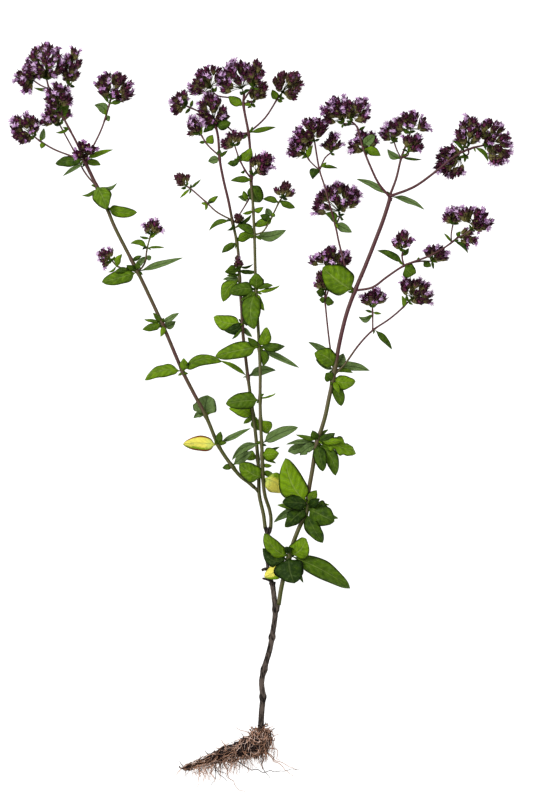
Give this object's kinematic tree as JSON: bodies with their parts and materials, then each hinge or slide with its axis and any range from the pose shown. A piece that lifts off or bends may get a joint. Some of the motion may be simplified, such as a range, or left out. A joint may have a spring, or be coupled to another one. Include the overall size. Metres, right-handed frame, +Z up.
{
  "type": "oregano plant",
  "caption": "Whole flowering oregano plant lying on its side: knobbly rootstock with fine roots, forked woody base, leafy stems with opposite leaves, and dense purple flower heads.",
  "frame": {"origin": "on the surface that the plant lies on, under the middle of its bounding box", "axes": "+Y runs from the roots to the flower heads, +X across the plant, +Z up from the surface"},
  "size_m": [0.407, 0.6022, 0.0446],
  "materials": {
    "roots": "rough dark brown bark with orange-brown hair roots",
    "wood": "rough dark grey-brown bark",
    "stems_and_leaves": "matt green leaves, purple-brown stems",
    "flowers": "matt dark purple bracts with lilac corollas"
  },
  "bodies": {
    "root": {"rootstock": "roots", "woody_base": "wood", "inner_leafy_stem": "stems_and_leaves", "inner_head_top": "flowers", "inner_head_low_side": "flowers", "inner_head_side": "flowers", "inner_head_far_side": "flowers", "inner_head_middle": "flowers", "inner_head_low": "flowers", "left_leafy_stem": "stems_and_leaves", "left_head_top": "flowers", "left_head_outer_top": "flowers", "left_head_top_right": "flowers", "left_head_inner": "flowers", "left_head_low": "flowers", "left_head_outer": "flowers", "left_head_right": "flowers", "left_head_fork": "flowers", "left_head_branch": "flowers", "left_head_small": "flowers", "middle_leafy_stem": "stems_and_leaves", "middle_head_top": "flowers", "middle_head_small_right": "flowers", "middle_head_small_left": "flowers", "middle_head_centre": "flowers", "middle_head_outer_right": "flowers", "middle_head_inner_left": "flowers", "middle_head_left": "flowers", "middle_head_right": "flowers", "middle_head_crown": "flowers", "right_leafy_stem": "stems_and_leaves", "right_head_low": "flowers", "right_head_lowest": "flowers", "right_head_inner_low": "flowers", "right_head_inner": "flowers", "right_head_left": "flowers", "right_head_far_left": "flowers", "right_head_left_inner": "flowers", "right_head_inner_top": "flowers", "right_head_side_low": "flowers", "right_head_side_top": "flowers", "right_head_side": "flowers", "right_head_upright": "flowers", "right_head_side_inner": "flowers", "right_head_crown_right": "flowers", "right_head_crown_left": "flowers", "right_head_behind": "flowers", "right_head_centre": "flowers", "right_head_centre_left": "flowers", "right_head_centre_low": "flowers", "right_head_far": "flowers", "right_head_far_inner": "flowers", "right_head_far_low": "flowers"}
  },
  "joints": []
}
